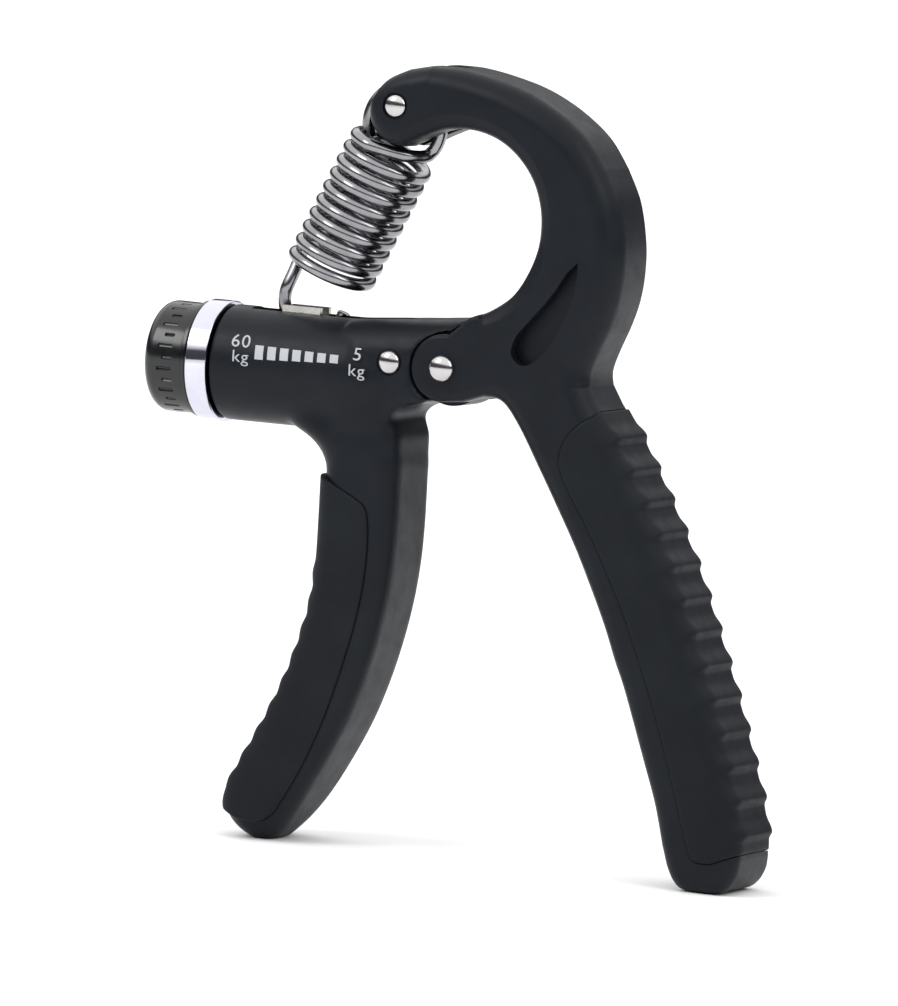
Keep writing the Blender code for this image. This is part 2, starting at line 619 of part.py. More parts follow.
nut = rod("nut_raw", DOWEL[0] - 4.0, DOWEL[0] + 4.0, BORE_R - GAP, AXIS, "X", 32)
join(nut, box("nut_cheeks", (DOWEL[0] - 4.0, -2.6, BARREL_Z), (DOWEL[0] + 4.0, 2.6, 8.7)))
cut(
    nut,
    rod("nut_bore", -60, 0, SCREW_R + 0.08, AXIS, "X", 28),
    box("hook_groove", (-60, -WIRE_R - GAP, 1.5), (0, WIRE_R + GAP, 14.0)),
    rod("dowel_hole", -10, 10, 1.15, (DOWEL[0], 0, DOWEL[1]), "Y", 20),
)
node(nut, "travelling_nut", "steel", AXIS)
dowel = rod("nut_dowel", -2.5, 2.5, 1.1, (DOWEL[0], 0, DOWEL[1]), "Y", 20)
node(dowel, "nut_dowel", "steel", AXIS)

# ---------------------------------------------------------------- spring

sleeve_profile = [(-1.5, 1.33), (-1.5, 1.6), (1.5, 1.6), (1.5, 1.33)]
sleeve = turned("pin_sleeve", sleeve_profile, (PIN[0], 0, PIN[1]), "Y", 24)
node(sleeve, "pin_sleeve", "nylon", PIN_AXIS)

span = Vector((PIN[0] - DOWEL[0], PIN[1] - DOWEL[1]))
AXIS_LENGTH = span.length
ALONG = span.normalized()
ACROSS = Vector((-ALONG.y, ALONG.x))


def on_spring(s, across, depth=0.0):
    """A point s mm up the spring axis from the dowel, `across` mm to its left and depth mm to the back."""
    return (DOWEL[0] + ALONG.x * s + ACROSS.x * across, depth, DOWEL[1] + ALONG.y * s + ACROSS.y * across)


def coil_point(turn):
    angle = -2 * math.pi * turn
    return on_spring(COIL_START + COIL_PITCH * turn, COIL_R * math.cos(angle), COIL_R * math.sin(angle))


def loop(centre, radius, start, stop, count):
    """A loop in the XZ plane; angles in degrees from the spring's left side, turning towards its foot."""
    angles = [math.radians(start + (stop - start) * i / (count - 1)) for i in range(count)]
    return [on_spring(centre - radius * math.sin(a), radius * math.cos(a)) for a in angles]


STEPS_PER_TURN = 12
eye_centre = AXIS_LENGTH - EYE_DROP
coil_top = COIL_START + COIL_PITCH * COIL_TURNS
coil_wire = [coil_point(i / STEPS_PER_TURN) for i in range(round(COIL_TURNS * STEPS_PER_TURN) + 1)]
node(wire("coils", coil_wire, WIRE_R), "spring_coils", "steel", PIN_AXIS, 60.0)

eye_arc = loop(eye_centre, COIL_R, 172, 410, 22)
eye_lead = [coil_point(COIL_TURNS + 0.012), coil_point(COIL_TURNS + 0.1), coil_point(COIL_TURNS + 0.2),
            on_spring(coil_top + 1.1, -0.9, -5.8), on_spring(coil_top + 1.8, -3.9, -3.9),
            on_spring(coil_top + 2.9, -5.8, -1.6), on_spring(coil_top + 4.3, -6.7, -0.3)]
node(wire("eye", spline(eye_lead, 2)[:-1] + eye_arc, WIRE_R), "spring_eye", "steel", PIN_AXIS, 60.0)

hook_arc = loop(HOOK_RISE, HOOK_R, 2, 200, 18)
hook_lead = [coil_point(-0.012), on_spring(COIL_START - 0.7, COIL_R * 0.97, 1.6),
             on_spring(COIL_START - 2.8, COIL_R * 0.96, 1.5), on_spring(COIL_START - 5.6, COIL_R * 0.95, 0.5)]
node(wire("hook", spline(hook_lead, 2)[:-1] + hook_arc, WIRE_R), "spring_hook", "steel", PIN_AXIS, 60.0)
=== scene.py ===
"""Looks of an adjustable hand grip strengthener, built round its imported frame.

Lengths are millimetres, and places are measured from the squeeze pivot, unless a name says otherwise.
at() turns them into the frame's metres. Outlines are (x, z) pairs, anticlockwise seen from the front,
which faces -Y.
"""

import json
import math

import bmesh
import bpy
from mathutils import Matrix, Vector

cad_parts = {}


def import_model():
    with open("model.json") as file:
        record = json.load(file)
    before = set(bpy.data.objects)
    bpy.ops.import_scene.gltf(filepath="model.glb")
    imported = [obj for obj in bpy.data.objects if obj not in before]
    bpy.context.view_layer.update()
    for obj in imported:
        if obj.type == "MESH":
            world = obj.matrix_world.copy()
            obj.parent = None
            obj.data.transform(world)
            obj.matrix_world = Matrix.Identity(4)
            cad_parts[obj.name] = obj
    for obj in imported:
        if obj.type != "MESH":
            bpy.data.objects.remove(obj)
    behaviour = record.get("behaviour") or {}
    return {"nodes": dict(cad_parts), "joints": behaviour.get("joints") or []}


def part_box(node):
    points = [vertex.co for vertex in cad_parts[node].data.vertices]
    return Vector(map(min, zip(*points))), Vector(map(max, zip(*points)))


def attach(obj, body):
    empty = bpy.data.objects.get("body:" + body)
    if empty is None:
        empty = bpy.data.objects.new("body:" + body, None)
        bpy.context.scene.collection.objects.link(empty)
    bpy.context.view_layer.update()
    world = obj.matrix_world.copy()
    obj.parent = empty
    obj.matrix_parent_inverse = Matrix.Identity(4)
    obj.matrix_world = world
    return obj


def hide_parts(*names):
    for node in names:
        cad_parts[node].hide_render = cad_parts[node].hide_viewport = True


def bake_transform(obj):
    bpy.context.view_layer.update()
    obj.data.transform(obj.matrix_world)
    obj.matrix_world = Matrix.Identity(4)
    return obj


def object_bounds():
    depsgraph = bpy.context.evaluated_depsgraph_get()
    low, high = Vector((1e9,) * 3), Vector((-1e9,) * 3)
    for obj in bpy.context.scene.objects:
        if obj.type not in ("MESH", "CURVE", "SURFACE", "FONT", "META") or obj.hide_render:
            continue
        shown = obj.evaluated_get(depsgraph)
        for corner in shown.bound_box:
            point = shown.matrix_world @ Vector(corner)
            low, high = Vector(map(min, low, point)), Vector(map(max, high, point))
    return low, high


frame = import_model()
cad_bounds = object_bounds()

MM = 0.001
JOINTS = {joint["name"]: joint for joint in frame["joints"]}
PIVOT = Vector(JOINTS["squeeze_pivot"]["pos_m"])


def at(x, y, z):
    """A place in millimetres from the pivot, in the frame's metres."""
    return PIVOT + Vector((x, y, z)) * MM


def from_pivot(place):
    """A place in the frame's metres as (x, z) in millimetres from the pivot."""
    moved = (Vector(place) - PIVOT) / MM
    return (moved.x, moved.z)


def middle_of(node):
    low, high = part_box(node)
    return from_pivot((low + high) / 2)


PIN = from_pivot(JOINTS["spring_swing"]["pos_m"])
BARREL_Z = from_pivot(JOINTS["knob_turn"]["pos_m"])[1]
DOWEL = middle_of("nut_dowel")
CROSS_RIVET = middle_of("cross_rivet")

# Half depths of the hard handles, the pads and the cores inside them.
HALF, PAD_HALF, CORE_HALF = 9.6, 10.1, 6.2
EAR_R, EAR_INNER = 6.5, 4.5
TONGUE_R, TONGUE_HALF = 7.4, 4.2
BARREL_R, BARREL_LEFT = 11.2, -48.6
BORE_R, BORE_END = 6.6, -17.0
SLOT_HALF, SLOT_LEFT, SLOT_RIGHT = 2.9, -44.0, -9.5
RING_R, KNOB_R = 11.8, 10.8
WIRE_R, COIL_R, HOOK_R = 1.25, 7.7, 6.5
COIL_TURNS, COIL_PITCH, COIL_START = 9.0, 2.95, 10.4
EYE_DROP, HOOK_RISE = COIL_R - 3.15, HOOK_R - 2.65  # loop centres measured from the pin and the dowel
GAP = 0.3


# ---------------------------------------------------------------- materials


def nodes_of(name):
    made = bpy.data.materials.new(name)
    made.use_nodes = True
    tree = made.node_tree
    shader = tree.nodes["Principled BSDF"]
    place = tree.nodes.new("ShaderNodeTexCoord").outputs["Object"]
    return made, tree, shader, place


def noise(tree, place, scale, detail=3.0, roughness=0.5, stretch=None):
    """A noise of that many lumps per metre; stretch scales its space along each axis."""
    if stretch:
        mapping = tree.nodes.new("ShaderNodeMapping")
        mapping.inputs["Scale"].default_value = stretch
        tree.links.new(place, mapping.inputs["Vector"])
        place = mapping.outputs["Vector"]
    made = tree.nodes.new("ShaderNodeTexNoise")
    made.inputs["Scale"].default_value = scale
    made.inputs["Detail"].default_value = detail
    made.inputs["Roughness"].default_value = roughness
    tree.links.new(place, made.inputs["Vector"])
    return made.outputs["Fac"]


def spread(tree, value, low, high, out_low, out_high):
    made = tree.nodes.new("ShaderNodeMapRange")
    for name, number in (("From Min", low), ("From Max", high), ("To Min", out_low), ("To Max", out_high)):
        made.inputs[name].default_value = number
    tree.links.new(value, made.inputs["Value"])
    return made.outputs["Result"]


def tinted(tree, value, dark, light):
    ramp = tree.nodes.new("ShaderNodeValToRGB")
    ramp.color_ramp.elements[0].position, ramp.color_ramp.elements[1].position = 0.3, 0.7
    ramp.color_ramp.elements[0].color = (*dark, 1)
    ramp.color_ramp.elements[1].color = (*light, 1)
    tree.links.new(value, ramp.inputs["Fac"])
    return ramp.outputs["Color"]


def bumped(tree, shader, heights):
    """Bumps on top of each other. heights holds (value, strength, height in mm)."""
    below = None
    for value, strength, height in heights:
        bump = tree.nodes.new("ShaderNodeBump")
        bump.inputs["Strength"].default_value = strength
        bump.inputs["Distance"].default_value = height * MM
        tree.links.new(value, bump.inputs["Height"])
        if below:
            tree.links.new(below, bump.inputs["Normal"])
        below = bump.outputs["Normal"]
    tree.links.new(below, shader.inputs["Normal"])


def plastic(name, dark, light, rough, grain, grain_height, gloss=0.5):
    """Moulded plastic or rubber: spark-eroded grain, slight mottling, uneven sheen."""
    made, tree, shader, place = nodes_of(name)
    mottle = noise(tree, place, 90, 4, 0.6)
    tree.links.new(tinted(tree, mottle, dark, light), shader.inputs["Base Color"])
    worn = noise(tree, place, 260, 5, 0.65)
    tree.links.new(spread(tree, worn, 0.3, 0.7, rough[0], rough[1]), shader.inputs["Roughness"])
    shader.inputs["Specular IOR Level"].default_value = gloss
    fine = noise(tree, place, grain, 2, 0.6)
    broad = noise(tree, place, grain / 3.1, 2, 0.5)
    bumped(tree, shader, [(broad, 0.35, grain_height * 1.6), (fine, 0.5, grain_height)])
    return made


def metal(name, dark, light, rough, lines, height):
    """Drawn, plated or turned metal, with faint marks whose scale along each axis is lines."""
    made, tree, shader, place = nodes_of(name)
    shader.inputs["Metallic"].default_value = 1.0
    cloud = noise(tree, place, 300, 4, 0.6)
    tree.links.new(tinted(tree, cloud, dark, light), shader.inputs["Base Color"])
    marks = noise(tree, place, 1500, 4, 0.6, lines)
    tree.links.new(spread(tree, marks, 0.3, 0.7, rough[0], rough[1]), shader.inputs["Roughness"])
    bumped(tree, shader, [(marks, 0.25, height)])
    return made


LOOKS = {
    "body_black": plastic(
        "shell", (0.006, 0.0077, 0.0106), (0.0084, 0.0105, 0.0142), (0.34, 0.46), 4200, 0.02, 0.14
    ),
    "grip_rubber": plastic(
        "grip", (0.0068, 0.0084, 0.011), (0.0094, 0.0114, 0.0146), (0.48, 0.62), 5200, 0.014, 0.12
    ),
    "knob_black": plastic(
        "gloss", (0.004, 0.0045, 0.0055), (0.006, 0.0065, 0.0075), (0.14, 0.22), 2600, 0.003, 0.5
    ),
    "nylon": plastic("nylon", (0.62, 0.61, 0.56), (0.72, 0.71, 0.66), (0.4, 0.5), 3000, 0.01),
    "chrome": metal("chrome", (0.56, 0.56, 0.64), (0.62, 0.62, 0.7), (0.05, 0.09), (4, 0.3, 0.3), 0.002),
    "nickel": metal("nickel", (0.46, 0.45, 0.45), (0.54, 0.53, 0.52), (0.1, 0.18), (1, 1, 1), 0.004),
    "spring_steel": metal(
        "spring_steel", (0.23, 0.23, 0.24), (0.3, 0.3, 0.315), (0.15, 0.23), (1, 1, 1), 0.003
    ),
    "screw_steel": metal("screw_steel", (0.44, 0.43, 0.4), (0.58, 0.56, 0.53), (0.2, 0.34), (1, 3, 3), 0.006),
    "print": plastic("print", (0.36, 0.37, 0.4), (0.42, 0.43, 0.46), (0.45, 0.6), 5000, 0.008),
}


# ---------------------------------------------------------------- mesh helpers


def arc(centre, radius, start, stop, count):
    """Points on a circle, angles in degrees anticlockwise from +X."""
    angles = [math.radians(start + (stop - start) * i / (count - 1)) for i in range(count)]
    return [(centre[0] + radius * math.cos(a), centre[1] + radius * math.sin(a)) for a in angles]


def spline(points, per=8):
    """A smooth run through the points, with `per` steps between neighbours."""
    padded = [points[0]] + list(points) + [points[-1]]
    run = []
    for a, b, c, d in zip(padded, padded[1:], padded[2:], padded[3:]):
        for step in range(per):
            t = step / per
            run.append(
                tuple(
                    0.5 * (2 * q + (r - p) * t + (2 * p - 5 * q + 4 * r - s) * t * t
                           + (3 * q - p - 3 * r + s) * t ** 3)
                    for p, q, r, s in zip(a, b, c, d)
                )
            )
    return run + [tuple(points[-1])]


def inward(outline):
    """The inward mitre vector at each outline point, scaled so that an inset keeps its distance."""
    count = len(outline)
    vectors = []
    for i in range(count):
        before, here, after = (Vector(outline[j % count]) for j in (i - 1, i, i + 1))
        first, second = (here - before).normalized(), (after - here).normalized()
        mean = Vector((-first.y - second.y, first.x + second.x)).normalized()
        vectors.append(mean / max(mean.dot(Vector((-first.y, first.x))), 0.6))
    return vectors


def inset(outline, distance):
    return [(p[0] + v.x * distance, p[1] + v.y * distance) for p, v in zip(outline, inward(outline))]


def untangled(ring, outline):
    """The ring with its loops pulled out, which an inset leaves inside tight corners of the outline."""
    count = len(ring)
    steps = [(Vector(outline[(i + 1) % count]) - Vector(outline[i])).normalized() for i in range(count)]
    ring = [Vector(point) for point in ring]
    for _ in range(60):
        tangled = [i for i in range(count) if (ring[(i + 1) % count] - ring[i]).dot(steps[i]) < 0.004]
        for i in tangled:
            j = (i + 1) % count
            middle = (ring[i] + ring[j]) / 2
            ring[i], ring[j] = middle - steps[i] * 0.003, middle + steps[i] * 0.003
        if not tangled:
            break
    return ring


def from_bmesh(name, shape):
    shape.normal_update()
    bmesh.ops.triangulate(shape, faces=shape.faces)
    bmesh.ops.recalc_face_normals(shape, faces=shape.faces)
    mesh = bpy.data.meshes.new(name)
    shape.to_mesh(mesh)
    shape.free()
    obj = bpy.data.objects.new(name, mesh)
    bpy.context.scene.collection.objects.link(obj)
    return obj


def skin(name, rings):
    """A skin over rings of points in mm, capped at both ends."""
    shape = bmesh.new()
    rows = [[shape.verts.new(at(*point)) for point in ring] for ring in rings]
    count = len(rows[0])
    for first, second in zip(rows, rows[1:]):
        for i in range(count):
            j = (i + 1) % count
            shape.faces.new((first[i], first[j], second[j], second[i]))
    shape.faces.new(rows[0])
    shape.faces.new(list(reversed(rows[-1])))
    return from_bmesh(name, shape)


def plate(name, outline, half, rims=0.0, steps=8, middle=0.0, lifts=None):
    """A plate along Y with rounded rims.

    rims is one radius, or for each outline point (radius, start, stop): the rim's curve runs from start to
    stop degrees of a quarter round, so a start over 0 or a stop under 90 leaves a crisp line there. lifts
    raises points outwards, and fades fast as the rim rounds over.
    """
    if not isinstance(rims, (list, tuple)):
        rims = [(rims, 0, 90)] * len(outline)
    if max(rim[0] for rim in rims) <= 0:
        rings = [[(x, middle + side * half, z) for x, z in outline] for side in (-1, 1)]
        return skin(name, rings)
    lifts = lifts or [0.0] * len(outline)
    vectors = inward(outline)
    rings = []
    for side, order in ((-1, range(steps + 1)), (1, range(steps, -1, -1))):
        for step in order:
            ring, depths = [], []
            for point, vector, (radius, start, stop), lift in zip(outline, vectors, rims, lifts):
                low, high = math.radians(start), math.radians(stop)
                angle = low + (high - low) * step / steps
                out = (math.sin(angle) - math.sin(low)) / (math.sin(high) - math.sin(low))
                down = (math.cos(low) - math.cos(angle)) / (math.cos(low) - math.cos(high))
                shift = radius * (1 - out) - lift * out ** 4
                depths.append(middle + side * (half - radius * down))
                ring.append((point[0] + vector.x * shift, point[1] + vector.y * shift))
            rings.append([(spot.x, depth, spot.y) for spot, depth in zip(untangled(ring, outline), depths)])
    return skin(name, rings)


def turned(name, profile, centre, axis, steps=96):
    """A turned solid. profile is (along, radius) in mm, round its section; a radius of 0 closes it."""
    shape = bmesh.new()
    rows = []
    for along, radius in profile:
        angles = [2 * math.pi * i / steps for i in range(steps if radius > 1e-6 else 1)]
        spots = [Vector((along, radius * math.cos(a), radius * math.sin(a))) for a in angles]
        rows.append([shape.verts.new(spot * MM) for spot in spots])
    hoop = [(rows[-1], rows[0])] if profile[0][1] > 1e-6 else []
    for first, second in list(zip(rows, rows[1:])) + hoop:
        for i in range(steps):
            j = (i + 1) % steps
            if len(first) == 1:
                shape.faces.new((first[0], second[i], second[j]))
            elif len(second) == 1:
                shape.faces.new((first[i], first[j], second[0]))
            else:
                shape.faces.new((first[i], first[j], second[j], second[i]))
    obj = from_bmesh(name, shape)
    turn = Matrix.Identity(4) if axis == "X" else Matrix.Rotation(math.pi / 2, 4, "Z")
    obj.data.transform(Matrix.Translation(at(*centre)) @ turn)
    return obj


def rod(name, start, stop, radius, centre, axis):
    return turned(name, [(start, 0), (start, radius), (stop, radius), (stop, 0)], centre, axis, 64)


def box(name, low, high):
    shape = bmesh.new()
    for x in (low[0], high[0]):
        for y in (low[1], high[1]):
            for z in (low[2], high[2]):
                shape.verts.new(at(x, y, z))
    bmesh.ops.convex_hull(shape, input=shape.verts)
    return from_bmesh(name, shape)


def applied(obj):
    """Turns obj's modifiers into its mesh."""
    graph = bpy.context.evaluated_depsgraph_get()
    mesh = bpy.data.meshes.new_from_object(obj.evaluated_get(graph))
    obj.modifiers.clear()
    obj.data = mesh
    return obj


def combine(obj, operation, others):
    for other in others:
        modifier = obj.modifiers.new("combine", "BOOLEAN")
        modifier.operation, modifier.solver, modifier.object = operation, "MANIFOLD", other
        applied(obj)
        bpy.data.objects.remove(other, do_unlink=True)
    return obj


def cut(obj, *others):
    return combine(obj, "DIFFERENCE", others)


def join(obj, *others):
    return combine(obj, "UNION", others)


def melted(obj, voxel, rounds, weight=None, weighted_rounds=0):
    """Remeshes obj finely and softens its edges, and more where weight(point in mm from the pivot) says."""
    remesh = obj.modifiers.new("remesh", "REMESH")
    remesh.mode, remesh.voxel_size = "VOXEL", voxel * MM
    applied(obj)
    smooth = obj.modifiers.new("smooth", "SMOOTH")
    smooth.factor, smooth.iterations = 0.5, rounds
    if weight:
        applied(obj)
        group = obj.vertex_groups.new(name="blend")
        for vertex in obj.data.vertices:
            share = weight((vertex.co - PIVOT) / MM)
            if share > 0:
                group.add([vertex.index], share, "REPLACE")
        smooth = obj.modifiers.new("smooth", "SMOOTH")
        smooth.factor, smooth.iterations, smooth.vertex_group = 0.5, weighted_rounds, "blend"
    applied(obj)
    obj.vertex_groups.clear()
    return obj


def finished(obj, name, body, slot, nodes=(), crisp=17.0, look=None):
    """Gives a piece its name, shading, material, body and slot, and hides the CAD nodes it stands for."""
    obj.name = name
    obj.data.name = name
    obj.data.materials.clear()
    obj.data.materials.append(LOOKS[look or slot])
    obj.data.shade_smooth()
    obj.data.set_sharp_from_angle(angle=math.radians(crisp))
    weigh = obj.modifiers.new("weigh normals", "WEIGHTED_NORMAL")
    weigh.keep_sharp = True
    if body:
        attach(obj, body)
    if nodes:
        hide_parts(*nodes)
    return obj


# ---------------------------------------------------------------- outlines

REAR_LEFT = [(8.2, -4.7), (12.0, -5.4), (15.7, -9.7), (20.2, -16.9), (24.5, -24.0), (28.8, -31.3),
             (32.7, -38.8), (36.3, -46.3), (38.8, -52.4), (41.3, -58.0), (45.9, -70.2), (49.0, -78.5),
             (51.2, -86.3)]
REAR_TIP = [(52.4, -90.0), (54.0, -92.8), (56.4, -94.4), (62.8, -94.4), (65.4, -93.0), (66.9, -90.4),
            (67.3, -87.6)]
REAR_RIGHT = [(67.0, -84.2), (65.3, -76.8), (63.2, -70.4), (61.0, -64.0), (58.7, -57.8), (56.3, -51.7),
              (53.7, -45.4), (51.0, -39.2), (48.2, -33.0), (45.1, -27.1), (41.8, -21.2), (38.4, -15.4),
              (35.0, -9.7), (31.3, -4.3)]
ARCH_OUTER = [(29.3, -1.0), (29.3, 1.8), (30.6, 5.7), (32.4, 10.1), (33.9, 15.0), (34.6, 20.4),
              (34.4, 26.6), (32.7, 34.3), (29.6, 40.4), (25.3, 46.0), (19.2, 50.6), (12.4, 54.0), (5.5, 56.0),
              (-1.4, 57.2), (-7.4, 57.3)]
HOOK_END = [(-12.0, 56.3), (-16.0, 54.2), (-18.3, 51.6), (-19.4, 48.9), (-19.2, 46.2), (-17.6, 43.5),
            (-15.0, 41.9), (-11.9, 41.5)]
VOID = [(-8.3, 43.4), (-3.4, 45.4), (2.6, 45.7), (7.9, 44.2), (12.3, 41.1), (15.5, 37.0), (17.2, 32.5),
        (17.7, 28.4), (17.3, 24.1), (15.6, 19.4), (12.8, 15.0), (8.7, 11.9), (5.0, 10.2)]
REAR_SEAM = [(31.2, -6.4), (28.0, -9.0), (26.0, -12.0), (25.4, -15.2), (26.3, -18.2), (28.9, -22.6),
             (31.6, -26.6), (36.1, -34.2), (40.8, -43.0), (45.2, -52.6), (49.2, -62.6), (52.6, -72.2),
             (55.4, -80.6), (57.4, -86.6), (59.0, -88.6), (62.2, -88.8)]
CRESCENT = [(26.8, 22.6), (26.6, 18.0), (25.0, 12.4), (22.6, 7.4), (19.8, 3.6), (16.6, 2.0),
            (14.2, 4.0), (15.0, 7.4), (18.0, 11.2), (21.6, 15.6), (24.6, 20.4)]

LEVER_HALF = HALF - 0.05
LUG_OUTLINE = [(3.2, 9.7), (3.2, 12.0), (-22.0, 12.0), (-22.0, -13.0), (-11.4, -13.0), (-10.6, -10.0),
               (-8.6, -8.4), (-5.6, -7.5), (-3.4, -6.9)]
LUG_CROWN = [(-24.0, 7.3), (-16.0, 8.0), (-10.0, 8.5), (-5.0, 8.9), (0.0, 9.4), (4.0, 9.9)]  # x, height
# The lever's level sections: height, outer edge, inner edge, half depth, outer and inner corner radii.
LEVER = [
    (-8.0, -33.0, -12.0, 9.0, 8.6, 1.8),
    (-11.0, -35.2, -10.3, 9.0, 8.6, 2.2),
    (-13.0, -35.0, -9.3, 9.2, 8.4, 2.6),
    (-14.4, -32.4, -8.95, 9.4, 7.6, 3.0),
    (-15.8, -29.4, -8.9, 9.5, 6.8, 3.4),
    (-17.6, -26.9, -8.8, LEVER_HALF, 6.0, 3.8),
    (-20.0, -25.0, -8.6, LEVER_HALF, 5.0, 3.8),
    (-23.0, -24.3, -8.6, LEVER_HALF, 4.4, 3.8),
    (-31.0, -24.3, -8.5, LEVER_HALF, 4.2, 3.8),
    (-39.0, -24.7, -8.8, LEVER_HALF, 4.2, 3.8),
    (-46.5, -25.6, -9.7, LEVER_HALF, 4.2, 3.8),
    (-54.0, -27.3, -11.2, LEVER_HALF, 4.2, 3.8),
    (-62.0, -29.8, -13.4, LEVER_HALF, 4.2, 3.8),
    (-70.0, -33.3, -16.3, LEVER_HALF, 4.2, 3.8),
    (-77.0, -36.9, -19.7, LEVER_HALF, 4.2, 3.8),
    (-83.0, -40.0, -23.0, 9.4, 4.2, 3.8),
    (-87.0, -41.4, -25.4, 9.0, 4.4, 4.0),
    (-90.2, -41.1, -27.6, 8.2, 4.6, 4.2),
    (-92.6, -39.6, -29.6, 7.0, 4.4, 4.0),
    (-94.4, -36.8, -31.4, 5.0, 2.4, 2.4),
]
FRONT_LEFT = [(outer, height) for height, outer, *_ in LEVER[7:17]]
PAD_SWELL = (1.0, 0.9, 0.5, 0.1, 0.1, 0.2, 0.2, 0.2, 0.2, 0.2)  # how far the front pad stands off FRONT_LEFT
FRONT_SEAM = [(-22.6, -23.4), (-19.7, -24.8), (-16.4, -26.4), (-14.2, -28.0), (-13.3, -30.8), (-13.0, -35.6),
              (-13.3, -42.4), (-14.4, -49.6), (-16.0, -56.4), (-17.8, -63.0), (-20.4, -71.0), (-23.3, -78.0),
              (-26.0, -83.2), (-28.6, -87.4), (-30.4, -89.6), (-33.2, -91.0), (-37.4, -90.6)]

REAR_CORE = (
    [(24.0, -14.6), (24.6, -17.6)]
    + [(x - 2.0, z - 1.2) for x, z in REAR_SEAM[5:13]]
    + [(57.0, -84.6), (63.0, -85.2)]
    + [(x - 3.4, z - 1.5) for x, z in REAR_RIGHT[1:13]]
    + [(30.6, -9.4), (27.4, -11.0)]
)
FRONT_CORE = (
    [(-21.4, -26.6), (-20.6, -31.0)]
    + [(x + 3.4, z + 0.8) for x, z in FRONT_LEFT[1:10]]
    + [(-35.6, -83.0), (-34.6, -87.0)]
    + [(x + 1.8, z + 0.6) for x, z in reversed(FRONT_SEAM[5:14])]
    + [(-11.6, -31.0)]
)
REAR_ZONE = spline(REAR_SEAM, 6) + [(70.0, -85.6), (76.0, -84.0), (60.0, -30.0), (40.0, 2.0), (33.6, -3.4)]
FRONT_ZONE = spline(FRONT_SEAM, 6) + [(-43.0, -88.6), (-50.0, -86.0), (-42.0, -50.0), (-34.0, -22.0),
                                      (-27.0, -21.8)]
FRONT_ZONE.reverse()


def ribbed(run, ribs, height, from_share, to_share, ridge):
    """Points along a run of outline and, for each, how far evenly spaced ridges raise it.

    ridge(t) is the height from 0 to 1 over one pitch, t from 0 to 1.
    """
    points = [Vector(p) for p in spline(run, 6)]
    lengths = [0.0]
    for a, b in zip(points, points[1:]):
        lengths.append(lengths[-1] + (b - a).length)
    total = lengths[-1]
    count = round(total / 0.3)
    base, lifts, k = [], [], 0
    for i in range(count + 1):
        distance = total * i / count
        while k < len(lengths) - 2 and lengths[k + 1] < distance:
            k += 1
        share = (distance - lengths[k]) / max(lengths[k + 1] - lengths[k], 1e-9)
        spot = points[k].lerp(points[k + 1], share)
        base.append((spot.x, spot.y))
        along = (i / count - from_share) / (to_share - from_share) * ribs
        lifts.append(height * ridge(along % 1.0) if 0 <= along < ribs else 0.0)
    return base, lifts


def saw_ridge(t):
    """A rounded ridge with a steep side and a long one."""
    if t < 0.22:
        return math.sin(math.pi / 2 * t / 0.22) ** 2
    return math.cos(math.pi / 2 * (t - 0.22) / 0.56) ** 2 if t < 0.78 else 0.0


def wave_ridge(t):
    return math.sin(math.pi * t) ** 1.6


# ---------------------------------------------------------------- rear handle


EAR_POINTS = 60
SOFTENING_ROUNDS = 90


def rear_handle():
    runs = [
        (arc((0, 0), EAR_R, 84, 270, EAR_POINTS), (0.6, 0, 90)),
        ([(4.4, -6.1)], (1.0, 0, 90)),
        (spline(REAR_LEFT), (3.4, 0, 90)),
        (spline(REAR_TIP), (3.0, 0, 90)),
        (spline(REAR_RIGHT, 4), (3.6, 0, 90)),
        (spline(ARCH_OUTER[:9]), (4.8, 0, 72)),
        (spline(ARCH_OUTER[8:])[1:], (4.6, 0, 88)),
        (spline(HOOK_END), (2.8, 0, 90)),
        (spline(VOID), (2.8, 26, 90)),
    ]
    outline = [p for run, _ in runs for p in run]
    rims = [rim for run, rim in runs for _ in run]
    # The rims change gently from one run to the next.
    for _ in range(SOFTENING_ROUNDS):
        rims = [
            tuple((before[i] + 2 * here[i] + after[i]) / 4 for i in range(3))
            for before, here, after in zip(rims[-1:] + rims[:-1], rims, rims[1:] + rims[:1])
        ]
    # The ear and the shoulder beside it keep a small radius.
    for i, (radius, start, stop) in enumerate(rims):
        if i < EAR_POINTS - 2 or i > len(outline) - 6:
            rims[i] = (min(radius, 0.8), start, stop)
    obj = plate("rear_raw", outline, HALF, rims)
    cut(obj, cut(plate("zone", REAR_ZONE, 14.0), plate("core", REAR_CORE, CORE_HALF)))
    cut(
        obj,
        rod("pivot_hole", -20, 20, 1.66, (0, 0, 0), "Y"),
        rod("pin_hole", -20, 20, 1.36, (PIN[0], 0, PIN[1]), "Y"),
        plate("tongue_slot", arc((0, 0), 7.8, 0, 354, 60), EAR_INNER),
        plate("eye_slot", arc(PIN, 13.6, 0, 354, 60), 1.7),
    )
    for side in (-1, 1):
        pocket = plate("crescent", spline(CRESCENT, 8), 2.1, 0.5, 5, side * (HALF + 0.1))
        for vertex in pocket.data.vertices:
            vertex.co.y -= side * 0.08 * (at(24, 0, 0).x - vertex.co.x)
        start, stop = (HALF - 0.5, 12) if side > 0 else (-12, -HALF + 0.5)
        cut(obj, pocket, rod("pin_seat", start, stop, 2.6, (PIN[0], 0, PIN[1]), "Y"))
    return finished(obj, "rear_handle_shell", "rear", "body_black", ["rear_handle"])


rear_handle()


